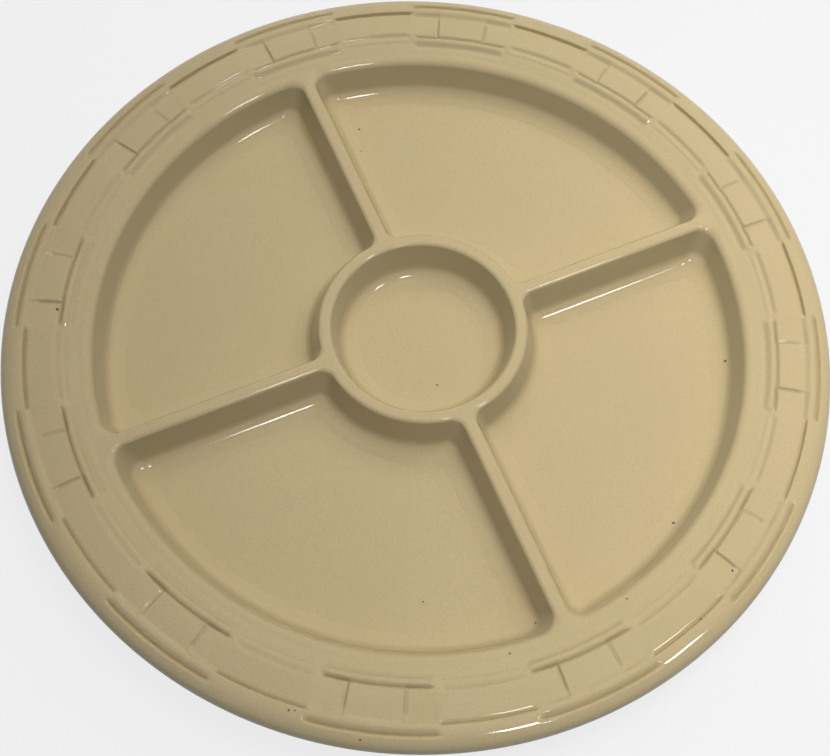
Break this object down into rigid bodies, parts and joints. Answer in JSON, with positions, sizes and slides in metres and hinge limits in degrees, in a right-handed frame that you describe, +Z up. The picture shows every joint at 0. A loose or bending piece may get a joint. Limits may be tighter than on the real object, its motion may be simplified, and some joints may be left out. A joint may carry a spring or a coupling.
{
  "type": "divided serving platter",
  "caption": "Round glazed stoneware serving platter, divided into compartments round a dip cup, with a broad basket-weave relief rim and a low foot ring.",
  "frame": {"origin": "middle of the foot ring's underside, on the surface that the platter stands on", "axes": "+Z up through the dip cup; +X and +Y along two of the dividers"},
  "size_m": [0.35, 0.35, 0.03],
  "materials": {
    "glaze": "gloss",
    "bare_clay": "matte"
  },
  "bodies": {
    "root": {"floor_slab": "glaze", "foot_ring": "bare_clay", "well_wall": "glaze", "rim_flange": "glaze", "weave_band": "glaze", "rim_edge": "glaze", "cup_ring": "glaze", "divider_east": "glaze", "divider_north": "glaze", "divider_west": "glaze", "divider_south": "glaze"}
  },
  "joints": []
}
